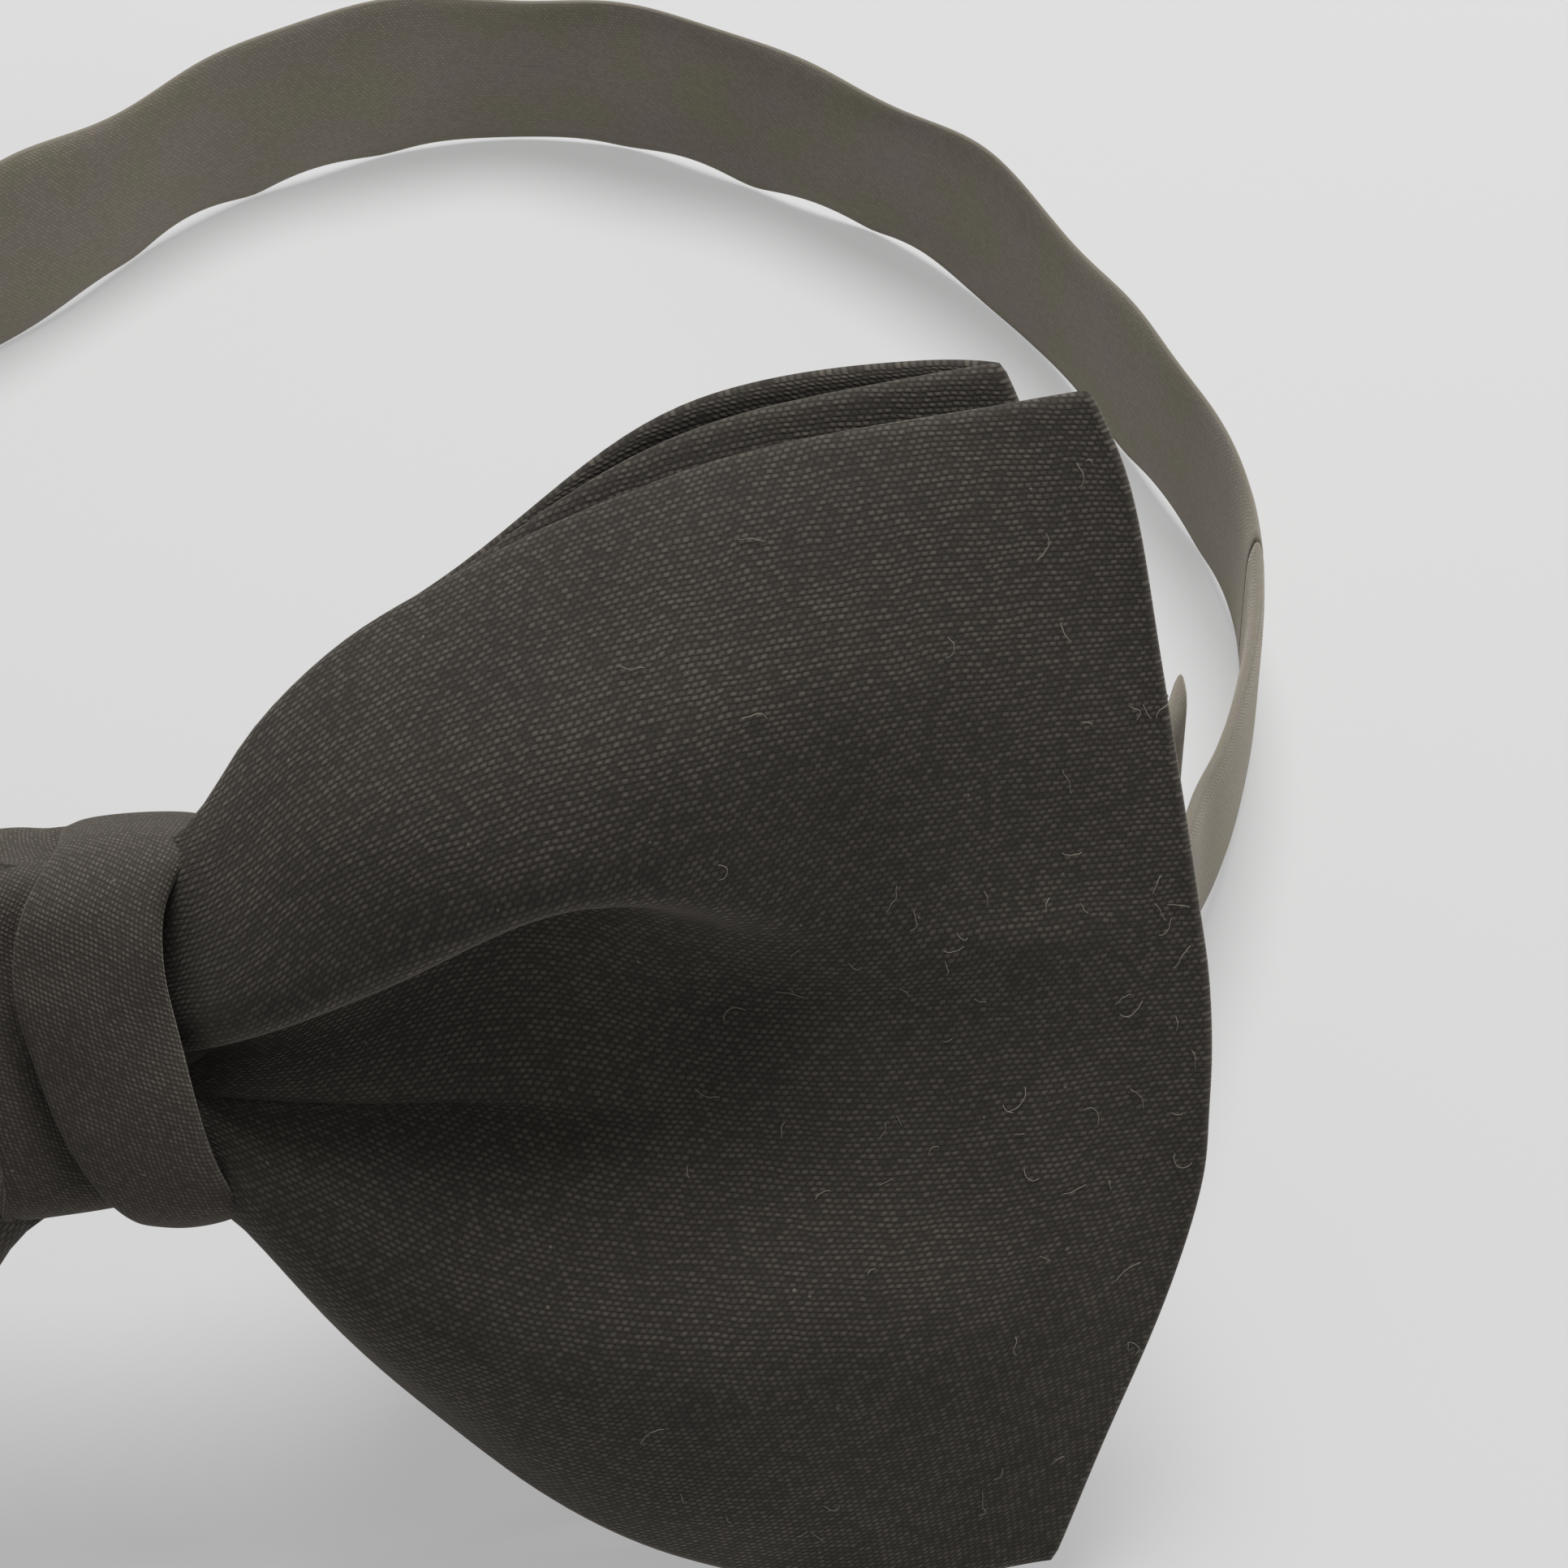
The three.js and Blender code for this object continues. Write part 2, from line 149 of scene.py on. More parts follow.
def wovenCloth(name, look):
    # Matt cloth woven from slubby yarn: rows of short slanting floats, each a little lighter
    # or darker than the next, and a nap that lightens the cloth where it turns away.
    material, tree, shader = startMaterial(
        name, Roughness=0.92, Sheen_Weight=look["nap"], Sheen_Roughness=0.45,
        Sheen_Tint=colour("d8cfc2"), Specular_IOR_Level=0.25)
    maths, mix = "ShaderNodeMath", "ShaderNodeMix"
    cloth = addNode(tree, "ShaderNodeUVMap", uv_map="cloth")
    waver = addNode(tree, "ShaderNodeTexNoise", {"Vector": cloth, "Scale": 0.35, "Detail": 2.0})
    split = addNode(tree, "ShaderNodeSeparateXYZ", {0: cloth})
    # Which row of weave a place is in, and how far across that row it lies
    drift = addNode(tree, maths, {0: waver, 1: look["waver"], 2: split.outputs[1]},
                    operation="MULTIPLY_ADD")
    row = addNode(tree, maths, {0: drift, 1: look["pitch"]}, operation="DIVIDE")
    rowNumber = addNode(tree, maths, {0: row}, operation="FLOOR")
    rowShare = addNode(tree, maths, {0: row}, operation="FRACT")
    # Which float it is in along the row, as the floats slant and each row starts further on
    slanted = addNode(tree, maths, {0: rowShare, 1: -look["slant"], 2: split}, operation="MULTIPLY_ADD")
    stepped = addNode(tree, maths, {0: rowNumber, 1: look["step"], 2: slanted}, operation="MULTIPLY_ADD")
    place = addNode(tree, maths, {0: stepped, 1: look["float"]}, operation="DIVIDE")
    floatNumber = addNode(tree, maths, {0: place}, operation="FLOOR")
    floatShare = addNode(tree, maths, {0: place}, operation="FRACT")
    # Each float is a raised slub of its own brightness
    cell = addNode(tree, "ShaderNodeCombineXYZ", {0: floatNumber, 1: rowNumber})
    lot = addNode(tree, "ShaderNodeTexWhiteNoise", {"Vector": cell}, noise_dimensions="2D")
    rowArc = addNode(tree, maths, {0: rowShare, 1: math.pi}, operation="MULTIPLY")
    floatArc = addNode(tree, maths, {0: floatShare, 1: math.pi}, operation="MULTIPLY")
    acrossRow = addNode(tree, maths, {0: rowArc}, operation="SINE")
    alongRow = addNode(tree, maths, {0: floatArc}, operation="SINE")
    slub = addNode(tree, maths, {0: acrossRow, 1: alongRow}, operation="MULTIPLY")
    uneven = addNode(tree, maths, {0: lot, 1: 0.75, 2: 0.25}, operation="MULTIPLY_ADD")
    lit = addNode(tree, maths, {0: slub, 1: uneven}, operation="MULTIPLY")
    faded = addNode(tree, maths, {0: lit, 1: look["contrast"]}, operation="MULTIPLY")
    # Patches a few millimetres across differ a little in dye
    tone = addNode(tree, "ShaderNodeTexNoise",
                   {"Vector": cloth, "Scale": look["patchScale"], "Detail": 3.0})
    patch = addNode(tree, "ShaderNodeMapRange", {0: tone, 1: 0.35, 2: 0.68})
    ground = addNode(tree, mix, {0: patch, 6: colour(look["ground"]), 7: colour(look["groundPatch"])},
                     data_type="RGBA")
    yarn = addNode(tree, mix, {0: patch, 6: colour(look["yarn"]), 7: colour(look["yarnPatch"])},
                   data_type="RGBA")
    woven = addNode(tree, mix, {0: faded, 6: ground.outputs[2], 7: yarn.outputs[2]}, data_type="RGBA")
    # Specks of pale lint caught in the weave, 0.1 to 0.2 mm across
    dust = addNode(tree, "ShaderNodeTexVoronoi", {"Vector": cloth, "Scale": 1.1, "Randomness": 1.0})
    speck = addNode(tree, "ShaderNodeMapRange", {0: dust, 1: 0.07, 2: 0.13, 3: 1.0, 4: 0.0})
    chosen = addNode(tree, "ShaderNodeSeparateColor", {0: dust.outputs["Color"]})
    few = addNode(tree, maths, {0: chosen, 1: 1 - look["dust"]}, operation="GREATER_THAN")
    specks = addNode(tree, maths, {0: speck, 1: few}, operation="MULTIPLY")
    pale = addNode(tree, maths, {0: specks, 1: 0.5}, operation="MULTIPLY")
    dusty = addNode(tree, mix, {0: pale, 6: woven.outputs[2], 7: colour("8f8778")}, data_type="RGBA")
    tree.links.new(dusty.outputs[2], shader.inputs["Base Color"])
    fuzz = addNode(tree, "ShaderNodeTexNoise", {"Vector": cloth, "Scale": 9.0, "Detail": 2.0})
    relief = addNode(tree, maths, {0: fuzz, 1: 0.5, 2: lit}, operation="MULTIPLY_ADD")
    bump = addNode(tree, "ShaderNodeBump",
                   {"Strength": look["relief"], "Distance": 0.06 * mm, "Height": relief})
    tree.links.new(bump.outputs[0], shader.inputs["Normal"])
    return material


def feltedSheet(name, low, high, fibre):
    # Pressed felt or wadding: short fibres lying every way, so mottled and quite without gloss
    material, tree, shader = startMaterial(name, Roughness=0.97, Sheen_Weight=0.25)
    place = addNode(tree, "ShaderNodeTexCoord").outputs["Object"]
    fibres = addNode(tree, "ShaderNodeTexNoise",
                     {"Vector": place, "Scale": 1 / (fibre * mm), "Detail": 4.0, "Distortion": 1.5})
    mottle = addNode(tree, "ShaderNodeMapRange", {0: fibres, 1: 0.35, 2: 0.65})
    shade = addNode(tree, "ShaderNodeMix", {0: mottle, 6: colour(low), 7: colour(high)},
                    data_type="RGBA")
    bump = addNode(tree, "ShaderNodeBump", {"Strength": 0.5, "Distance": 0.1 * mm, "Height": fibres})
    tree.links.new(shade.outputs[2], shader.inputs["Base Color"])
    tree.links.new(bump.outputs[0], shader.inputs["Normal"])
    return material


def spunThread(name, shade, light, ply):
    # Twisted polyester sewing thread: fine slanting plies, each a band of painted shine beside a band of
    # painted shade, with a soft real shine from the shader as well
    material, tree, shader = startMaterial(name, Roughness=0.6, Sheen_Weight=0.3)
    place = addNode(tree, "ShaderNodeTexCoord").outputs["Object"]
    turned = addNode(tree, "ShaderNodeMapping", {"Vector": place, "Rotation": (0.5, 0.6, 0.8)})
    plies = addNode(tree, "ShaderNodeTexWave",
                    {"Vector": turned, "Scale": 1 / (ply * mm), "Distortion": 0.6}).outputs[1]
    # Painted shine and shade: each ply mixes a shaded and a lit colour of the one thread
    pliesPaintedShine = addNode(tree, "ShaderNodeMix", {0: plies, 6: colour(shade), 7: colour(light)},
                      data_type="RGBA")
    bump = addNode(tree, "ShaderNodeBump", {"Strength": 0.4, "Distance": 0.04 * mm, "Height": plies})
    tree.links.new(pliesPaintedShine.outputs[2], shader.inputs["Base Color"])
    tree.links.new(bump.outputs[0], shader.inputs["Normal"])
    return material


def lacqueredWire(name):
    # Steel wire dipped in black lacquer: a smooth dark coat, dulled and thinned where it rubs
    material, tree, shader = startMaterial(
        name, Metallic=0.0, IOR=1.5, Coat_Weight=0.35, Coat_Roughness=0.2)
    place = addNode(tree, "ShaderNodeTexCoord").outputs["Object"]
    smears = addNode(tree, "ShaderNodeTexNoise", {"Vector": place, "Scale": 700.0, "Detail": 4.0})
    rubbed = addNode(tree, "ShaderNodeMapRange", {0: smears, 1: 0.3, 2: 0.75, 3: 0.28, 4: 0.52})
    worn = addNode(tree, "ShaderNodeMapRange", {0: smears, 1: 0.55, 2: 0.75})
    coat = addNode(tree, "ShaderNodeMix", {0: worn, 6: colour("131313"), 7: colour("2b2a29")},
                   data_type="RGBA")
    bump = addNode(tree, "ShaderNodeBump", {"Strength": 0.15, "Distance": 0.02 * mm, "Height": smears})
    tree.links.new(rubbed.outputs[0], shader.inputs["Roughness"])
    tree.links.new(coat.outputs[2], shader.inputs["Base Color"])
    tree.links.new(bump.outputs[0], shader.inputs["Normal"])
    return material


def looseLint(name):
    # Undyed cotton lint: matt and pale, a little darker in places
    material, tree, shader = startMaterial(name, Roughness=0.9, Sheen_Weight=0.2)
    place = addNode(tree, "ShaderNodeTexCoord").outputs["Object"]
    patches = addNode(tree, "ShaderNodeTexNoise", {"Vector": place, "Scale": 900.0, "Detail": 2.0})
    shade = addNode(tree, "ShaderNodeMix", {0: patches, 6: colour("5b564c"), 7: colour("a59d8e")},
                    data_type="RGBA")
    tree.links.new(shade.outputs[2], shader.inputs["Base Color"])
    return material


def glowingPaleTable(name):
    # Matt painted board, flat and pale, that also glows though it is no lamp: painted light that fills
    # the shadows cast on it, so only faint ones stay, and lights the tie a little from below
    return startMaterial(
        name, Roughness=0.9, Specular_IOR_Level=0.1, Base_Color=colour("8a8a8a"),
        Emission_Color=colour("ffffff"), Emission_Strength=0.375)[0]


bowWeave = {
    "pitch": 0.31,         # mm between weft rows
    "float": 0.46,         # mm, length of one float
    "slant": 0.12,         # mm a float drifts across its row
    "step": 0.17,          # mm each row starts further along
    "waver": 0.5,          # how far the rows stray from straight
    "ground": "2b2825", "groundPatch": "2f2c27",
    "yarn": "655e56", "yarnPatch": "6d665d",
    "contrast": 0.7, "patchScale": 0.12, "nap": 0.3, "dust": 0.05, "relief": 1.0,
}
# The band is woven in lighter colours than the bow's cloth: painted light, standing for light its
# upright face, turned away from the lamps, does not get
bandWeave = {**bowWeave, "pitch": 0.26, "float": 0.34, "ground": "7f7770", "groundPatch": "7b7867",
             "yarn": "a69d94", "yarnPatch": "a39c88", "contrast": 0.7, "patchScale": 0.16,
             "nap": 0.45, "dust": 0.01, "relief": 0.5}
# The knot's cloth is the bow's weave in lighter colours: painted light, for the brighter light the knot
# catches
knotWeave = {**bowWeave, "pitch": 0.24, "float": 0.3, "contrast": 0.65, "dust": 0.07,
             "ground": "35312d", "groundPatch": "38342e", "yarn": "746c63", "yarnPatch": "79716a"}

bowCloth = wovenCloth("slubWovenPolyesterBow", bowWeave)
knotCloth = wovenCloth("slubWovenPolyesterKnotPaintedLighter", knotWeave)
bandCloth = wovenCloth("wovenBandPaintedLighter", bandWeave)
interlining = feltedSheet("pressedFeltInterlining", "3a3733", "4c4843", 0.25)
wadding = feltedSheet("looseCottonWadding", "b5b0a4", "d8d3c7", 0.5)
thread = spunThread("spunPolyesterThread", "141312", "3b3833", 0.35)
wire = lacqueredWire("lacqueredSteelWire")
lint = looseLint("looseCottonLint")


def curveAt(points, at):
    # A smooth curve through points with a rising first value, read at the given values
    points = np.asarray(points, float)
    at = np.atleast_1d(at)
    start, rest = points[:, 0], points[:, 1:]
    slopes = np.gradient(rest, start, axis=0)
    i = np.clip(np.searchsorted(start, at, side="right") - 1, 0, len(start) - 2)
    gap = (start[i + 1] - start[i])[:, None]
    t = np.clip((at - start[i])[:, None] / gap, 0, 1)
    into, out = slopes[i] * gap, slopes[i + 1] * gap
    near = rest[i] * (1 + 2 * t) * (1 - t) ** 2 + into * t * (1 - t) ** 2
    return near + rest[i + 1] * t * t * (3 - 2 * t) - out * t * t * (1 - t)


def acrossRows(rows, steps):
    # A smooth line through one point of each row, with a few steps from each row to the next
    gaps = np.sqrt(np.linalg.norm(np.diff(rows, axis=0), axis=1)) + 1e-6
    start = np.concatenate([[0], np.cumsum(gaps)])
    at = [start[i] + gaps[i] * j / steps for i in range(len(gaps)) for j in range(steps)]
    return curveAt(np.column_stack([start, rows]), np.array(at + [start[-1]]))


def lengthAlong(points):
    steps = np.linalg.norm(np.diff(points, axis=0), axis=-1)
    return np.concatenate([[0], np.cumsum(steps)])


def linked(name, mesh, material):
    piece = bpy.data.objects.new(name, mesh)
    piece.data.materials.append(material)
    scene.collection.objects.link(piece)
    return piece


def clothSheet(name, places, flat, material):
    # A grid of cloth: places are metres, flat is where each point was on the cut strip, in mm
    columns, rows = places.shape[:2]
    bm = bmesh.new()
    bmesh.ops.create_grid(bm, x_segments=columns - 1, y_segments=rows - 1, size=0.5)
    cloth = bm.loops.layers.uv.new("cloth")
    spot = {}
    for vert in bm.verts:
        column = round((vert.co.x + 0.5) * (columns - 1))
        row = round((vert.co.y + 0.5) * (rows - 1))
        spot[vert] = (column, row)
        vert.co = places[column, row]
    for face in bm.faces:
        face.smooth = True
        for loop in face.loops:
            loop[cloth].uv = flat[spot[loop.vert]]
    mesh = bpy.data.meshes.new(name)
    bm.to_mesh(mesh)
    bm.free()
    return linked(name, mesh, material)


def thicken(piece, thickness, offset=0, levels=1):
    wall = piece.modifiers.new("thickness", "SOLIDIFY")
    wall.thickness = thickness * mm
    wall.offset = offset
    if levels:
        smooth = piece.modifiers.new("smooth", "SUBSURF")
        smooth.levels = levels
        smooth.render_levels = levels


def applied(piece):
    # The piece as its modifiers show it, with none left on it
    bpy.context.view_layer.update()
    graph = bpy.context.evaluated_depsgraph_get()
    mesh = bpy.data.meshes.new_from_object(piece.evaluated_get(graph), preserve_all_data_layers=True,
                                           depsgraph=graph)
    piece.modifiers.clear()
    piece.data = mesh
    return piece


def threadPiece(name, runs, radius, material, sides=6):
    # Runs of thread, each a list of places, as one mesh of round tubes
    curve = bpy.data.curves.new(name, "CURVE")
    curve.dimensions = "3D"
    curve.bevel_depth = radius * mm
    curve.bevel_resolution = (sides - 4) // 2
    curve.use_fill_caps = True
    for run in runs:
        spline = curve.splines.new("POLY")
        spline.points.add(len(run) - 1)
        for point, place in zip(spline.points, run):
            point.co = (*place, 1)
    shape = bpy.data.objects.new(name, curve)
    scene.collection.objects.link(shape)
    bpy.context.view_layer.update()
    mesh = bpy.data.meshes.new_from_object(shape.evaluated_get(bpy.context.evaluated_depsgraph_get()))
    bpy.data.objects.remove(shape)
    mesh.materials.clear()
    return linked(name, mesh, material)


def finishPiece(piece, body, slotName, *nodes):
    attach(piece, body)
    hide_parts(*nodes)


print("bows")

# One wing, seen from the front: rows of points (out from the knot, depth, height) in mm, from
# the top edge down to the bottom one. Depth is negative towards the front.
frontWing = {
    "topEdge": [(0, -1.4, 9.3), (5, -1.8, 10.4), (7, -2.4, 11.8), (9, -3.0, 14.9), (14, -3.4, 19.8),
                (22, -3.6, 24.2), (34, -3.5, 28.6), (51, -2.8, 30.7), (55, -2.3, 31.0)],
    "shoulder": [(0, -2.4, 7.6), (5, -2.8, 8.2), (8, -4.6, 10.8), (14, -6.2, 16.4), (22, -7.0, 20.4),
                 (34, -6.4, 24.2), (47, -4.6, 25.8), (56.8, -2.3, 26.0)],
    "upperCrest": [(0, -2.6, 4.2), (5, -3.0, 4.6), (8, -6.2, 6.0), (14, -9.0, 10.4), (22, -10.6, 13.8),
                   (32, -10.0, 16.0), (46, -6.4, 17.0), (58, -2.3, 16.5)],
    "lip": [(0, -2.4, -0.4), (5, -2.9, -0.6), (8, -6.2, 0.9), (16.5, -9.6, 4.2), (26, -11.2, 8.2),
            (31, -9.8, 8.2), (38, -7.4, 6.0), (48, -5.0, 4.6), (59.3, -2.3, 4.4)],
    "underLip": [(0, -1.6, -0.3), (5, -1.8, -0.3), (8, -3.0, 1.4), (16.5, -4.4, 5.2), (25, -5.4, 8.2),
                 (31, -6.0, 6.4), (38, -6.0, 3.6), (48, -5.0, 2.4), (59.5, -2.3, 2.2)],
    "pocket": [(0, -1.2, -1.6), (5, -1.5, -1.7), (8, -2.4, -0.8), (16.5, -2.8, 1.0), (25, -3.3, 2.2),
               (31, -3.9, 1.6), (38, -4.5, 0.4), (48, -4.2, -0.8), (59.8, -2.3, -1.2)],
    "aboveCrease": [(0, -1.8, -3.2), (5, -2.2, -3.2), (8, -3.2, -3.2), (13, -3.6, -3.5),
                    (20, -3.6, -3.9), (30, -4.0, -4.4), (42, -4.4, -5.2), (59.8, -2.3, -5.4)],
    "crease": [(0, -1.2, -3.9), (5, -1.3, -3.9), (8, -1.8, -4.0), (13, -2.5, -4.5), (20, -3.2, -5.0),
               (30, -4.2, -6.6), (42, -4.7, -8.4), (59.5, -2.3, -9.0)],
    "belowCrease": [(0, -2.2, -4.6), (5, -2.7, -4.7), (8, -4.2, -5.2), (13, -5.2, -6.2),
                    (20, -5.4, -7.4), (30, -5.4, -9.6), (42, -5.2, -12.0), (59, -2.3, -13.0)],
    "lowerCrest": [(0, -2.4, -6.4), (5, -2.8, -6.8), (8, -5.0, -8.8), (14, -6.8, -12.8),
                   (22, -8.4, -16.2), (32, -8.4, -18.4), (44, -6.2, -20.0), (56.6, -2.3, -20.0)],
    "lowerShoulder": [(0, -2.2, -8.0), (5, -2.4, -8.6), (8, -4.0, -12.0), (14, -5.4, -18.0),
                      (22, -6.4, -24.0), (32, -6.0, -28.0), (42, -4.4, -29.6), (52.6, -2.3, -28.6)],
    "bottomEdge": [(0, -1.4, -9.3), (5, -1.8, -10.2), (7, -2.2, -11.4), (9, -2.6, -14.6),
                   (12, -2.9, -18.4), (19, -3.1, -26.2), (27, -3.1, -32.2), (38, -2.8, -36.2),
                   (49.4, -2.3, -35.8)],
}
bows = {
    "front": {
        "stripWidth": 67, "stripLength": 244,   # mm, the flat strip one bow is folded from
        "thick": 1.1,
        "columns": (44, 24), "steps": 4,        # how finely the front and back are divided
        "fold": 22,                             # how sharply a wing's end is pressed
        # How the wing differs from frontWing: its length, its lower and upper heights, how much
        # higher its upper half ends, its relief, and how far back it lies in mm
        "shrink": 1.0, "drop": 1.0, "hug": 0.0, "raise": 0.0, "flatten": 1.0, "shift": 0.0,
        # Depths in mm of the wing's end and its back panel, how far that bellies out, and how
        # its lower and upper edges compare with the front panel's
        "endDepth": -2.3, "backDepth": -1.6, "backOpen": 0.0, "backLow": 0.955, "backHigh": 1.0,
    },
    "rear": {
        "stripWidth": 66, "stripLength": 226,
        "thick": 1.1,
        "columns": (34, 30), "steps": 3,
        "fold": 16,
        "shrink": 0.925, "drop": 0.975, "hug": 0.08, "raise": 1.0, "flatten": 0.42, "shift": 4.2,
        "endDepth": 3.6, "backDepth": 3.0, "backOpen": 3.6, "backLow": 1.0, "backHigh": 1.045,
    },
}


def wingRows(bow):
    # The front wing's rows, made shorter, flatter and further back for the rear bow
    rows = []
    for points in frontWing.values():
        row = []
        for out, depth, height in points:
            upper = 1 - bow["hug"] * (1 - ease((out - 16) / 26))
            scale = bow["drop"] if height < 0 else upper
            row.append((out * bow["shrink"],
                        depth * bow["flatten"] + bow["shift"] * ease(out / 12),
                        height * scale + bow["raise"] * ease((out - 22) / 20)))
        rows.append(row)
    return rows


def wingFront(bow, shares):
    # Places on a wing's front panel at shares of the way from the knot to its end
    rows = wingRows(bow)
    lines = []
    for row in rows:
        out = shares * row[-1][0]
        line = np.column_stack([out, curveAt(row, out)])
        pressed = np.sqrt(1 - shares ** bow["fold"])
        line[:, 1] = bow["endDepth"] + (line[:, 1] - bow["endDepth"]) * pressed
        lines.append(line)
    lines = np.array(lines).transpose(1, 0, 2)
    return np.array([acrossRows(line, bow["steps"]) for line in lines])


def wingBack(bow, front, shares):
    # The plain back panel ends on the front panel's end. The rear bow's has one soft tuck, at
    # the middle of its height and close to the knot.
    top, bottom = front[:, 0, 2], front[:, -1, 2]
    end = front[-1]
    level = (end[:, 2] - end[-1, 2]) / (end[0, 2] - end[-1, 2])
    places = front.copy()
    for i, share in enumerate(shares):
        lower = bow["backLow"] + (1 - bow["backLow"]) * share ** 8
        widened = ease((share - 0.4) / 0.3) * (1 - share ** 6)
        crest = top[i] * (1 + (bow["backHigh"] - 1) * widened)
        height = bottom[i] + level * (crest - bottom[i])
        out = share * end[:, 0]
        opened = ease((out - 6) / 26)
        valley = np.exp(-((level - 0.52) / 0.07) ** 2)
        tuck = valley * (1 - ease((out - 8) / 22)) * ease((out - 4) / 4)
        bulge = 1 - (2 * level - 1) ** 4 * 0.35
        tuckDepth = 1.6 if bow["backOpen"] > 0 else 0
        depth = bow["backDepth"] + bow["backOpen"] * opened * bulge - tuckDepth * tuck
        pressed = math.sqrt(max(0, 1 - share ** bow["fold"]))
        places[i, :, 0] = out
        places[i, :, 1] = bow["endDepth"] + (depth - bow["endDepth"]) * pressed
        places[i, :, 2] = height * lower
    places[-1] = end
    return places


def flatPlaces(panel, bow, along):
    # Where a panel's points were on the flat strip. The rows of weave run along the crest of
    # each lobe, and what the pleats take up is lost between them.
    names = list(frontWing)
    upper = names.index("upperCrest") * bow["steps"]
    lower = names.index("lowerCrest") * bow["steps"]
    end = lengthAlong(panel[-1])
    flat = np.zeros((*panel.shape[:2], 2))
    for i, line in enumerate(panel):
        run = lengthAlong(line)
        fromUpper = end[upper] + run - run[upper]
        fromLower = end[lower] + run - run[lower]
        share = ease((np.arange(len(line)) - upper) / (lower - upper))
        flat[i, :, 1] = fromUpper * (1 - share) + fromLower * share
        flat[i, :, 0] = along[i]
    return flat


def unevenness(places, amount, size, seed):
    # Slow small waves, so that no surface is quite even. The amount is one depth in mm, or one
    # for each column.
    shifts = [noise.noise(Vector((x / size, z / size, seed))) for x, _, z in places.reshape(-1, 3)]
    moved = places.copy()
    moved[..., 1] += np.reshape(amount, (-1, 1)) * np.array(shifts).reshape(places.shape[:2])
    return moved


def sidePanel(panel, shares, side, waves):
    # A panel for the right (1) or left (-1), with waves that die away before the wing's end
    lively = 1 - ease((shares - 0.7) / 0.25)
    depth, length, seed = waves
    return unevenness(panel * [side, 1, 1], depth * lively, length, side * seed)


def makeBow(label):
    bow = bows[label]
    frontCount, backCount = bow["columns"]
    frontShares = np.sin(np.linspace(0, math.pi / 2, frontCount)) ** 0.9
    backShares = np.sin(np.linspace(0, math.pi / 2, backCount))
    front = wingFront(bow, frontShares)
    back = wingBack(bow, wingFront(bow, backShares), backShares)
    middle, quarter = bow["stripLength"] / 2, bow["stripLength"] / 4
    panels = []
    for side in (1, -1):
        ahead = sidePanel(front, frontShares, side, (0.6, 9, 3.1))
        behind = sidePanel(back, backShares, side, (0.35, 12, 7.7))
        ahead[-1] = front[-1] * [side, 1, 1]
        behind[-1] = ahead[-1]
        backAlong = middle + side * (backShares * quarter - middle)
        panels.append((behind, flatPlaces(back, bow, backAlong)))
        panels.append((ahead, flatPlaces(front, bow, middle - side * frontShares * quarter)))
    (rightBack, rightBackFlat), (rightFront, rightFrontFlat) = panels[:2]
    (leftBack, leftBackFlat), (leftFront, leftFrontFlat) = panels[2:]
    loop = [rightBack, rightFront[-2::-1], leftFront[1:], leftBack[-2::-1]]
    flat = [rightBackFlat, rightFrontFlat[-2::-1], leftFrontFlat[1:], leftBackFlat[-2::-1]]
    places, flat = np.concatenate(loop), np.concatenate(flat)
    cloth = clothSheet(f"{label}BowCloth", bowPlaces(places), flat, bowCloth)
    thicken(cloth, bow["thick"])
    finishPiece(cloth, "bow_tie", "bow_cloth", f"{label}_bow_fabric")
    # The stiffener is sewn inside the tube of cloth, just short of its edges
    inside = places[::2, 1:-1]
    sheet = clothSheet(f"{label}BowInterlining", bowPlaces(inside), flat[::2, 1:-1], interlining)
    thicken(sheet, 0.3, levels=0)
    finishPiece(sheet, "bow_tie", "interlining", f"{label}_bow_interlining")
    return front


frontPanel = makeBow("front")
makeBow("rear")


print("knot")
knot = {
    "halfHeight": 10.9, "halfDepth": 5.9, "squareness": 3.4, "thick": 0.9,
    "around": 96, "steps": 4,
    "backHalfWidth": 6.7, "backPleat": 1.5, "pleatStep": 1.25,   # mm
    # Half width of the wrap on its front, by height, and where its pleat runs
    "rightEdge": [(-11.4, 7.0), (-6.8, 5.8), (-0.5, 5.0), (4.8, 4.5), (8.2, 4.9), (11.4, 6.7)],
    "leftEdge": [(-11.4, -7.0), (-4, -6.8), (4, -6.8), (11.4, -7.0)],
    "pleat": [(-11.4, 1.4), (-8, -0.6), (-4, -2.2), (0, -3.1), (4.5, -3.6), (8, -2.8), (11.4, -0.8)],
}


def wrapProfile(right, left, pleat, share):
    # Points across the wrap at one place round the knot: (right, out). The pleat is laid over
    # the left side by one step, and fades out as share falls to 0.
    step = knot["pleatStep"] * share
    middle = (right + pleat) / 2
    return np.array([
        (right - 0.9, -1.5), (right - 0.1, -1.0), (right, -0.35), (right - 0.8, 0.15), (middle, 0.5),
        (pleat + 1.2, 0.35), (pleat + 0.15, 0.0), (pleat + 0.25 * share, -0.5 * step),
        (pleat - 0.3 + 0.5 * share, -step), (pleat - 1.0, -0.85 * step),
        ((pleat + left) / 2, 0.2 - 0.8 * step), (left + 0.7, 0.05 - 0.6 * step),
        (left, -0.45 - 0.4 * step), (left + 0.9, -1.4)])


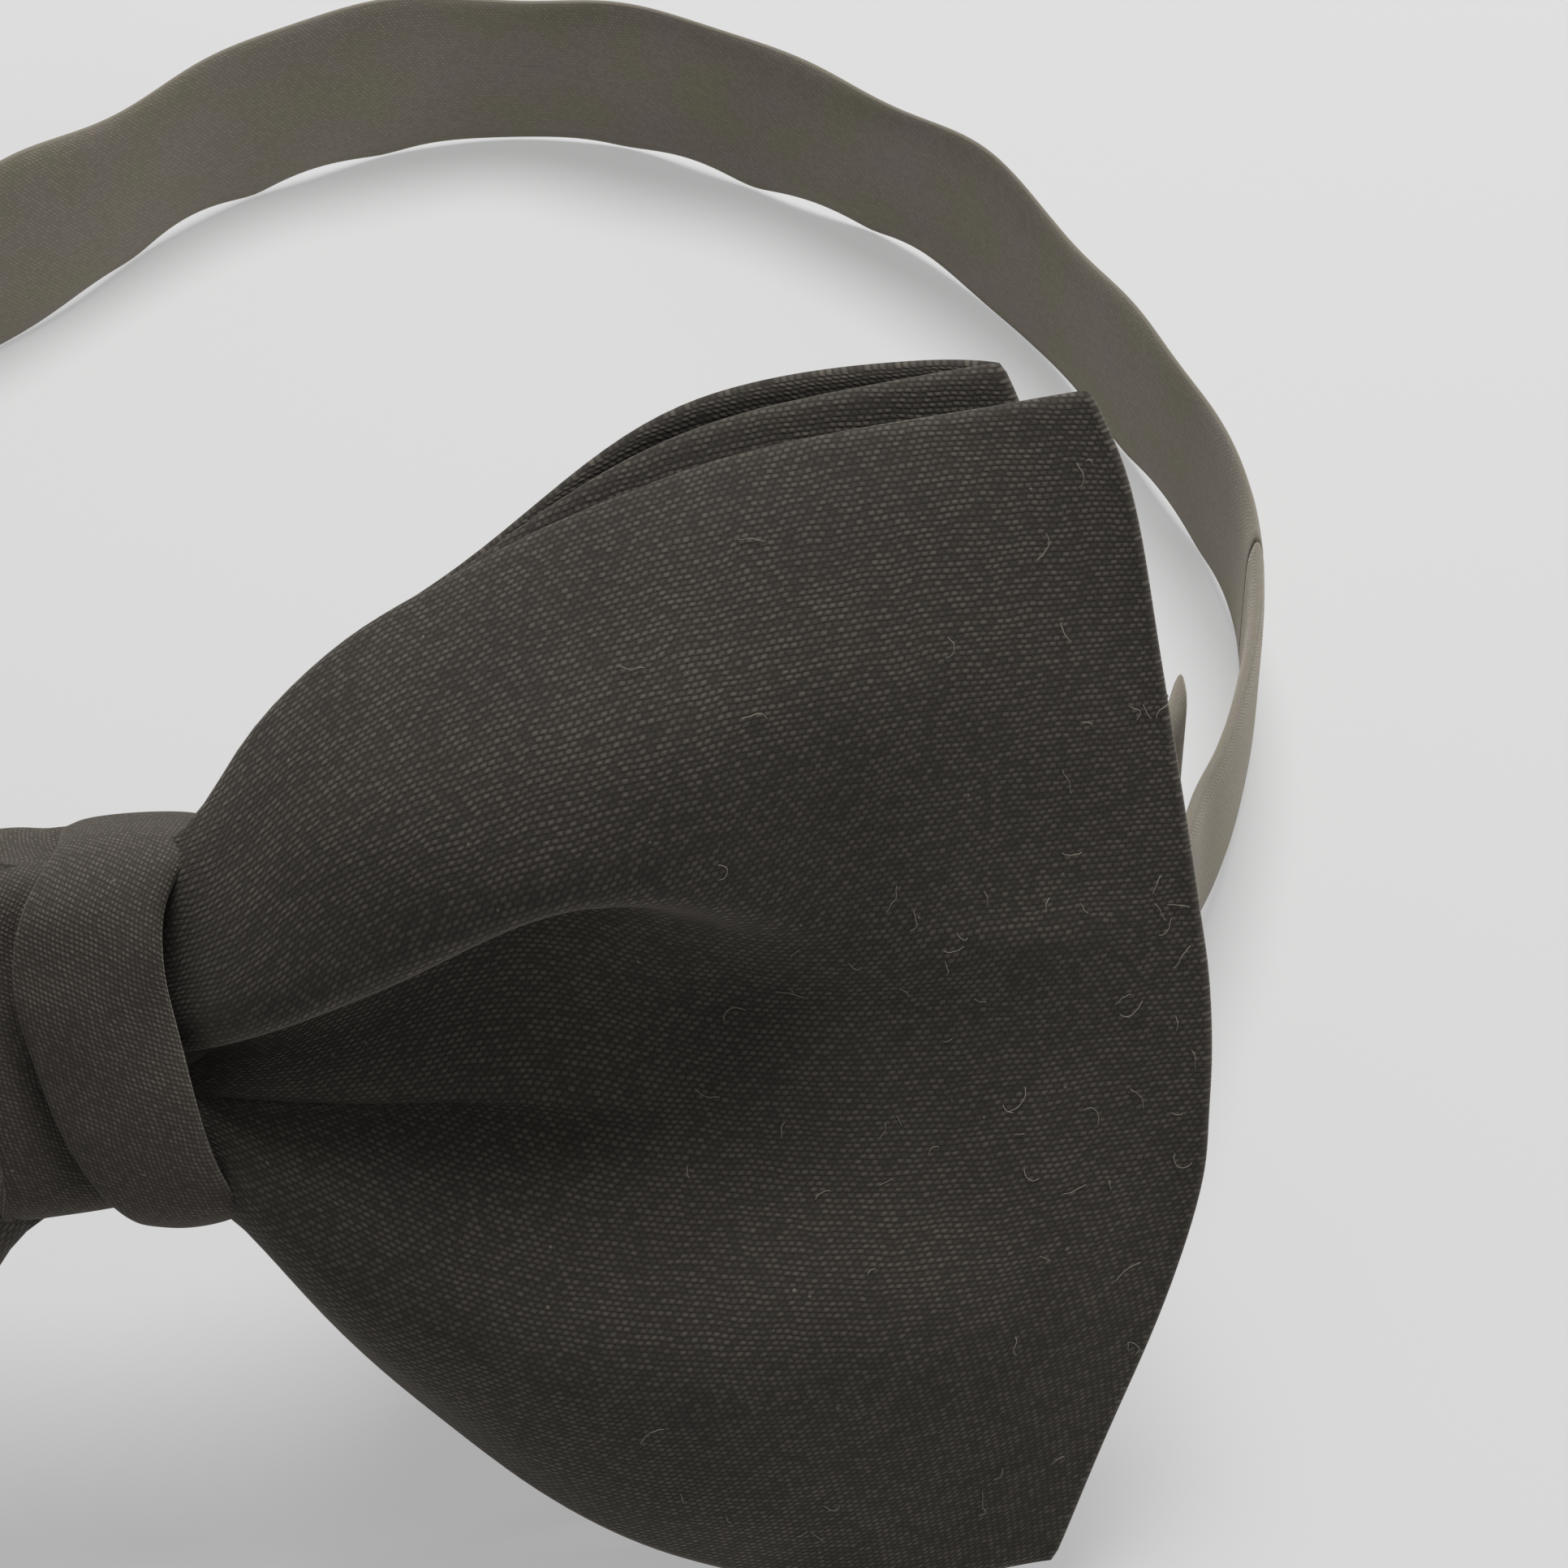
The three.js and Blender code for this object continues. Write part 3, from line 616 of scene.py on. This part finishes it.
def makeWrap():
    # A flattened ring round the pinched bows, narrower in front than behind
    places, flat, around = [], [], 0
    previous = None
    power = 2 / knot["squareness"]
    measured = 5 * knot["steps"]      # the point whose path gives the cloth's length
    for angle in np.linspace(0, 2 * math.pi, knot["around"] + 1):
        back = -math.copysign(abs(math.cos(angle)) ** power, math.cos(angle)) * knot["halfDepth"]
        high = math.copysign(abs(math.sin(angle)) ** power, math.sin(angle)) * knot["halfHeight"]
        outward = Vector((back / knot["halfDepth"] ** 2, high / knot["halfHeight"] ** 2)).normalized()
        front = ease((2.5 - back) / 5)
        right = front * curveAt(knot["rightEdge"], high)[0, 0] + (1 - front) * knot["backHalfWidth"]
        left = front * curveAt(knot["leftEdge"], high)[0, 0] - (1 - front) * knot["backHalfWidth"]
        pleat = front * curveAt(knot["pleat"], high)[0, 0] - (1 - front) * knot["backPleat"]
        profile = acrossRows(wrapProfile(right, left, pleat, front), knot["steps"])
        line = [(x, back + out * outward.x, high + out * outward.y) for x, out in profile]
        if previous is not None:
            around += np.linalg.norm(np.array(line[measured]) - previous)
        previous = np.array(line[measured])
        places.append(line)
        flat.append(np.column_stack([np.full(len(profile), around), lengthAlong(profile)]))
    places = unevenness(np.array(places), 0.25, 4, 2.2)
    places[-1] = places[0]
    wrap = clothSheet("knotWrapCloth", bowPlaces(places), np.array(flat), knotCloth)
    bm = bmesh.new()
    bm.from_mesh(wrap.data)
    bmesh.ops.remove_doubles(bm, verts=bm.verts, dist=0.001 * mm)
    bmesh.ops.recalc_face_normals(bm, faces=bm.faces)
    bm.to_mesh(wrap.data)
    bm.free()
    thicken(wrap, knot["thick"], offset=-1)
    finishPiece(wrap, "bow_tie", "knot_cloth", "knot_wrap")


padding = {
    "right": 0.6, "depth": -4.45,               # mm, where its middle lies
    "halfWidth": 2.7, "halfHeight": 7.0,
    "halfEdge": 0.12, "swell": 0.4,             # half its edge's thickness, and what the middle adds
}


def makePadding():
    bm = bmesh.new()
    bmesh.ops.create_cube(bm, size=1)
    bmesh.ops.subdivide_edges(bm, edges=bm.edges, cuts=5, use_grid_fill=True)
    for vert in bm.verts:
        # A pad: thick in the middle, thinning to a soft edge
        across, high, deep = vert.co.x * 2, vert.co.z * 2, vert.co.y * 2
        edge = (1 - across ** 4) * (1 - high ** 4)
        right = padding["right"] + across * padding["halfWidth"] * (1 - 0.12 * high ** 2)
        depth = padding["depth"] + deep * (padding["halfEdge"] + padding["swell"] * edge)
        vert.co = bowPlaces([(right, depth, high * padding["halfHeight"] * (1 - 0.1 * across ** 2))])[0]
    bmesh.ops.recalc_face_normals(bm, faces=bm.faces)
    for face in bm.faces:
        face.smooth = True
    mesh = bpy.data.meshes.new("knotPadding")
    bm.to_mesh(mesh)
    bm.free()
    pad = linked("knotPadding", mesh, wadding)
    smooth = pad.modifiers.new("smooth", "SUBSURF")
    smooth.levels = smooth.render_levels = 2
    finishPiece(pad, "bow_tie", "wadding", "knot_padding")


# In mm, but for the counts
binding = {"turns": 6, "spots": 28, "width": 2.5, "halfDepth": 3.35, "halfHeight": 9.9, "radius": 0.18}
wrapSeam = {"stitches": 12, "height": 14.8, "slant": 1.3, "halfWidth": 0.9, "depth": 6.75,
            "rise": 0.3, "radius": 0.17}


def makeBinding():
    # It winds round the pinched waist of both bows
    count = binding["turns"] * binding["spots"]
    wound = []
    for i in range(count + 1):
        angle = 2 * math.pi * i / binding["spots"]
        x = -binding["width"] / 2 + binding["width"] * i / count
        deep = math.copysign(abs(math.cos(angle)) ** 0.6, math.cos(angle))
        high = math.copysign(abs(math.sin(angle)) ** 0.6, math.sin(angle))
        wound.append((x, binding["halfDepth"] * deep, binding["halfHeight"] * high))
    piece = threadPiece("waistBindingThread", [bowPlaces(wound)], binding["radius"], thread)
    finishPiece(piece, "bow_tie", "thread", "waist_binding_thread")


def makeWrapSeam():
    # Zigzag stitches that close the wrap behind
    stitches = []
    for i in range(wrapSeam["stitches"]):
        height = -wrapSeam["height"] / 2 + wrapSeam["height"] * i / (wrapSeam["stitches"] - 1)
        side = wrapSeam["halfWidth"] if i % 2 else -wrapSeam["halfWidth"]
        stitch = [(side * (1 - 2 * t), wrapSeam["depth"] + wrapSeam["rise"] * math.sin(math.pi * t),
                   height + wrapSeam["slant"] * t) for t in np.linspace(0, 1, 7)]
        stitches.append(bowPlaces(stitch))
    piece = threadPiece("wrapSeamStitches", stitches, wrapSeam["radius"], thread)
    finishPiece(piece, "bow_tie", "thread", "wrap_seam_stitching")


makePadding()
makeBinding()
makeWrapSeam()


print("neckband")
band = {
    "width": 15, "thick": 1.2,            # mm, as is all that follows
    "centre": 4.55,                       # how far it runs behind the middle of the knot
    # It leans as the bow does this far from the knot, stands upright over the next run, and
    # has come down to the table by lowAt
    "flatTo": 8, "untwist": 28, "lowAt": 82,
    # Along the band from the knot: the eye's bar, the hook's, the loose tail end, the bend
    "clasp": 22, "hook": 36.4, "tail": 84.4, "bend": 96,
    "loopRadius": 1.8, "hookInset": 3.3, "eyeFold": 9, "joinAt": 3,
    # The strap's two layers close up past the hook, and its loose end stands off again
    "layerStart": 2.2, "layerRun": 9, "layerGap": 1.8,
    "tailLift": 2.2, "liftFrom": 58.4, "liftRun": 20,
    # The line the band is laid through, from the knot along the clasp side and home again
    "plan": [(0, 3.73), (8, 3.73), (22, 6.85), (36, 8.15), (52, 8.85), (57, 10.6), (60.4, 14.4),
             (62.4, 18.4), (63.8, 22), (65.8, 26), (68, 31.5), (70.4, 40), (71.4, 49), (70.2, 57),
             (67.6, 64.5), (65, 71), (60.5, 81), (51, 94.5), (37, 105.2), (19, 112.6), (-1, 108),
             (-20, 93.2), (-36, 78), (-48, 64), (-56, 48), (-58.5, 34), (-56, 22), (-49, 12.75),
             (-36, 9.45), (-22, 6.85), (-8, 3.73)],
}


def makeRoute():
    # A closed centripetal curve through the plan, falling from the knot to the table
    knotLevel = -band["centre"] * math.sin(bowLean)
    tableLevel = (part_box("rear_bow_fabric")[0][2] - bowCentre.z) / mm + band["width"] / 2
    points = []
    for x, y in band["plan"]:
        fall = ease((math.hypot(x, y) - band["flatTo"]) / (band["lowAt"] - band["flatTo"]))
        points.append(np.array((x, y, knotLevel + (tableLevel - knotLevel) * fall)))
    count, line = len(points), []
    for i in range(count):
        a, b, c, d = (points[(i + k) % count] for k in (-1, 0, 1, 2))
        before, here, after = (math.sqrt(np.linalg.norm(q - p)) for p, q in ((a, b), (b, c), (c, d)))
        into = ((b - a) / before - (c - a) / (before + here) + (c - b) / here) * here
        out = ((c - b) / here - (d - b) / (here + after) + (d - c) / after) * here
        for t in np.arange(0, 1, 1 / 40):
            line.append(b * (1 + 2 * t) * (1 - t) ** 2 + into * t * (1 - t) ** 2
                        + c * t * t * (3 - 2 * t) - out * t * t * (1 - t))
    line.append(line[0])
    return np.array(line)


route = makeRoute()
routeLength = lengthAlong(route)
ringLength = routeLength[-1]


def routeAt(distance):
    distance = distance % ringLength
    return np.array([np.interp(distance, routeLength, route[:, k]) for k in range(3)])


def bandFrame(distance):
    # The band's place, and its axes along, outwards and up its width
    along = routeAt(distance + 0.6) - routeAt(distance - 0.6)
    along = Vector(along).normalized()
    fromKnot = min(distance % ringLength, ringLength - distance % ringLength)
    lean = bowLean * (1 - ease((fromKnot - band["flatTo"]) / band["untwist"]))
    up = Vector((0, math.sin(lean), math.cos(lean)))
    outward = along.cross(up).normalized()
    place = Vector(routeAt(distance))
    return {"place": place, "along": along, "out": outward, "up": outward.cross(along)}


def moved(spot, alongBy, outBy):
    return {**spot, "place": spot["place"] + spot["along"] * alongBy + spot["out"] * outBy}


def turnRound(bar, way, steps=10):
    # Half a turn round a bar, from the outer side of the band to its inner side
    turned = []
    for i in range(steps + 1):
        angle = math.pi * i / steps
        outward = bar["out"] * math.cos(angle) + bar["along"] * way * math.sin(angle)
        turned.append({**bar, "out": outward, "place": bar["place"] + outward * band["loopRadius"]})
    return turned


def ripple(distance, edge):
    # A soft band's edges never run straight: each waves by about a millimetre
    calm = ease((distance - 92) / 20) * ease((ringLength - 22 - distance) / 30)
    phase = 1.3 if edge > 0 else 4.1
    wave = math.sin(distance / 4.6 + phase) + 0.7 * math.sin(distance / 2.9 + 2 * phase)
    return calm * 0.5 * (wave if edge > 0 else abs(wave))


def stripPiece(name, spots, material):
    # A soft flat strip: a flat loop of cross-section, thinner at its edges, carried through
    # the spots. Its inner face uses another part of the weave than its outer one.
    width, thick, innerWeave = band["width"], band["thick"], 40
    profile = []
    for side in (1, -1):
        ups = np.linspace(-1, 1, 9) * side
        profile += [(side * 0.5 * (1 - 0.75 * abs(up) ** 10), up / 2) for up in ups]
    places, flat, run = [], [], 0
    for i, spot in enumerate(spots):
        if i:
            run += (spot["place"] - spots[i - 1]["place"]).length
        distance = spot.get("at", 0)
        line = []
        for out, up in profile:
            edge = 1 if up > 0 else -1
            reach = up * width + (ripple(distance, edge) * abs(2 * up) ** 1.5 if distance else 0)
            sway = 0.55 * ripple(distance * 0.83 + 9 * up, 1) if distance else 0
            place = spot["place"] + spot["up"] * reach + spot["out"] * (out * thick + sway)
            line.append(bowCentre + place * mm)
        places.append(line)
        flat.append([(run, up * width + (innerWeave if out < 0 else 0)) for out, up in profile])
    places, flat = np.array(places), np.array(flat)
    # Close the section, then cap both ends
    places = np.concatenate([places, places[:, :1]], axis=1)
    flat = np.concatenate([flat, flat[:, :1]], axis=1)
    piece = clothSheet(name, places, flat, material)
    bm = bmesh.new()
    bm.from_mesh(piece.data)
    bmesh.ops.remove_doubles(bm, verts=bm.verts, dist=0.001 * mm)
    bmesh.ops.holes_fill(bm, edges=[edge for edge in bm.edges if edge.is_boundary], sides=0)
    bmesh.ops.recalc_face_normals(bm, faces=bm.faces)
    bm.to_mesh(piece.data)
    bm.free()
    smooth = piece.modifiers.new("smooth", "SUBSURF")
    smooth.levels = smooth.render_levels = 1
    return piece


def spotsBetween(start, end, step, outBy, wavy=True):
    count = max(1, round(abs(end - start) / step))
    spots = []
    # A second spot close to each end keeps the cut edges crisp
    shares = [0, 0.08 / count, *np.linspace(0, 1, count + 1)[1:-1], 1 - 0.08 / count, 1]
    for share in shares:
        distance = start + (end - start) * share
        spot = moved(bandFrame(distance), 0, outBy(distance))
        spots.append({**spot, "at": distance if wavy else 0})
    return spots


eyeBar = moved(bandFrame(band["clasp"]), 0, -band["loopRadius"])
hookBar = moved(eyeBar, band["hook"] - band["clasp"], band["loopRadius"] - band["hookInset"])


def closing(at):
    # How far the strap's two layers have come together at a distance from the knot
    return ease((at - band["hook"] - band["layerStart"]) / band["layerRun"])


def outerLayer(at):
    return (band["loopRadius"] - band["hookInset"]) * (1 - closing(at))


def innerLayer(at):
    lifted = band["tailLift"] * ease((at - band["liftFrom"]) / band["liftRun"])
    closed = outerLayer(at) - band["layerGap"] - lifted
    apart = -band["hookInset"] - band["loopRadius"]
    return apart * (1 - closing(at)) + closed * closing(at)


def turnedOver(spots):
    return [{**spot, "out": -spot["out"]} for spot in spots]


def makeNeckband():
    # Past the knot it goes through the eye and folds back on itself
    foldStart = ringLength + band["clasp"] - 6
    run = spotsBetween(band["bend"] + band["joinAt"], foldStart, 1.6, lambda at: 0)
    fold = [moved(eyeBar, -back, -band["loopRadius"]) for back in (1, 3, 5, 7, band["eyeFold"])]
    spots = run + turnRound(eyeBar, 1) + turnedOver(fold)
    piece = stripPiece("neckbandCloth", spots, bandCloth)
    finishPiece(piece, "bow_tie", "band_cloth", "neckband")


def makeStrap():
    # Sewn end to end to the neckband past the bend, with the seam open by a hair
    seamGap = 0.05
    outer = spotsBetween(band["bend"] + band["joinAt"] - seamGap, band["hook"] + 3, 1.6, outerLayer)
    inner = turnedOver(spotsBetween(band["hook"] + 3, band["tail"], 1.6, innerLayer, wavy=False))
    spots = outer + turnRound(hookBar, -1) + inner
    piece = applied(stripPiece("adjustableStrapCloth", spots, bandCloth))
    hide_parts("adjustable_strap")
    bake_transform(piece)


lockstitch = {"rows": (0.3, 1.6), "count": 9, "first": -6, "pitch": 1.35, "length": 1.1,
              "rise": 0.16, "radius": 0.14}


def barStitches(name, spot, outBy, body, node):
    # Two rows of lockstitch across the band, each stitch a short raised bar of thread
    runs = []
    for alongBy in lockstitch["rows"]:
        base = moved(spot, alongBy, outBy)
        for i in range(lockstitch["count"]):
            start = lockstitch["first"] + lockstitch["pitch"] * i
            run = []
            for t in np.linspace(0, 1, 5):
                up = base["up"] * (start + lockstitch["length"] * t)
                rise = base["out"] * (-lockstitch["rise"] * math.sin(math.pi * t))
                run.append(bowCentre + (base["place"] + up + rise) * mm)
            runs.append(run)
    piece = threadPiece(name, runs, lockstitch["radius"], thread)
    finishPiece(piece, body, "thread", node)


clasp = {"flat": 2, "sharp": 30, "rounding": 0.32}    # degrees, degrees, mm


def roundedWire(name, node, body):
    # The clasp parts keep their sizes; their square edges are rounded like dipped wire
    source = frame["nodes"][node]
    bm = bmesh.new()
    bm.from_mesh(source.data)
    bmesh.ops.remove_doubles(bm, verts=bm.verts, dist=0.001 * mm)
    bmesh.ops.dissolve_limit(bm, angle_limit=math.radians(clasp["flat"]), verts=bm.verts, edges=bm.edges)
    sharp = [edge for edge in bm.edges if edge.calc_face_angle(0) > math.radians(clasp["sharp"])]
    bmesh.ops.bevel(bm, geom=sharp, offset=clasp["rounding"] * mm, offset_type="OFFSET", affect="EDGES",
                    segments=3, profile=0.5, material=-1, clamp_overlap=True)
    for face in bm.faces:
        face.smooth = True
    mesh = bpy.data.meshes.new(name)
    bm.to_mesh(mesh)
    bm.free()
    piece = linked(name, mesh, wire)
    finishPiece(piece, body, "black_metal", node)


makeNeckband()
makeStrap()
makeWrap()
# The stitches lie on the faces of the band, a little short of its cut ends
onFace = band["thick"] / 2 + 0.15
tailSeam = band["tail"] - 3
barStitches("eyeEndStitches", moved(eyeBar, 2 - band["eyeFold"], 0), -band["loopRadius"] - onFace,
            "bow_tie", "eye_end_stitching")
barStitches("tailEndStitches", bandFrame(tailSeam), innerLayer(tailSeam) - onFace,
            "strap_end", "tail_end_stitching")
for label, node, body in (("claspEye", "eye", "eye"), ("claspHook", "hook", "hook"),
                          ("bandSlider", "slider", "slider")):
    roundedWire(label, node, body)


print("lint")
fluff = {
    "fibres": 150, "length": (0.6, 1.9), "radius": 0.022,   # mm
    "curl": 0.5,
    "stand": 0.62,      # mm, from the middle of the cloth to the fibre
}


def makeLint():
    # Short curly fibres that lie on the nap of the front panels
    draw = random.Random(41)
    runs = []
    columns, rows = frontPanel.shape[:2]
    for _ in range(fluff["fibres"]):
        side = 1 if draw.random() < 0.6 else -1
        column = draw.randrange(14, columns - 3)
        row = draw.randrange(2, rows - 3)
        here = frontPanel[column, row]
        ahead, down = frontPanel[column + 1, row], frontPanel[column, row + 1]
        across = (ahead - here) / np.linalg.norm(ahead - here)
        below = (down - here) / np.linalg.norm(down - here)
        normal = np.cross(below, across)
        normal = normal / np.linalg.norm(normal)
        heading, turn = draw.uniform(0, 2 * math.pi), draw.uniform(-1, 1) * fluff["curl"]
        step = draw.uniform(*fluff["length"]) / 7
        point, run = here + normal * fluff["stand"], []
        for i in range(8):
            run.append((point + normal * 0.12 * math.sin(math.pi * i / 7)) * [side, 1, 1])
            heading += turn * 0.6 + draw.uniform(-0.5, 0.5)
            point = point + (across * math.cos(heading) + below * math.sin(heading)) * step
        runs.append(bowPlaces(run))
    fibres = threadPiece("lintFibres", runs, fluff["radius"], lint, sides=4)
    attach(fibres, "bow_tie")


makeLint()


print("table and light")
studio = {"sky": 0.21, "overhead": 7.4, "side": 0.7}    # strength, watts, watts


def makeTable():
    bm = bmesh.new()
    bmesh.ops.create_grid(bm, x_segments=1, y_segments=1, size=3)
    mesh = bpy.data.meshes.new("tableTop")
    bm.to_mesh(mesh)
    bm.free()
    # The table's glow is painted light that keeps the shadows on it faint
    table = linked("tableTop", mesh, glowingPaleTable("mattPaleTableGlowing"))


def makeLight(name, place, size, power):
    data = bpy.data.lights.new(name, "AREA")
    data.shape = "DISK"
    data.size = size
    data.energy = power
    light = bpy.data.objects.new(name, data)
    light.location = place
    aim = Vector((0, 0, 0.02)) - Vector(place)
    light.rotation_euler = aim.to_track_quat("-Z", "Y").to_euler()
    scene.collection.objects.link(light)


def makeStudio():
    world = bpy.data.worlds.new("studio")
    world.use_nodes = True
    world.node_tree.nodes["Background"].inputs["Color"].default_value = colour("f4f4f4")
    world.node_tree.nodes["Background"].inputs["Strength"].default_value = studio["sky"]
    scene.world = world
    makeLight("overheadSoftbox", (0.12, 0.3, 0.72), 0.4, studio["overhead"])
    makeLight("sideSoftbox", (0.6, -0.2, 0.3), 0.3, studio["side"])
    scene.view_settings.view_transform = "Standard"


makeTable()
makeStudio()
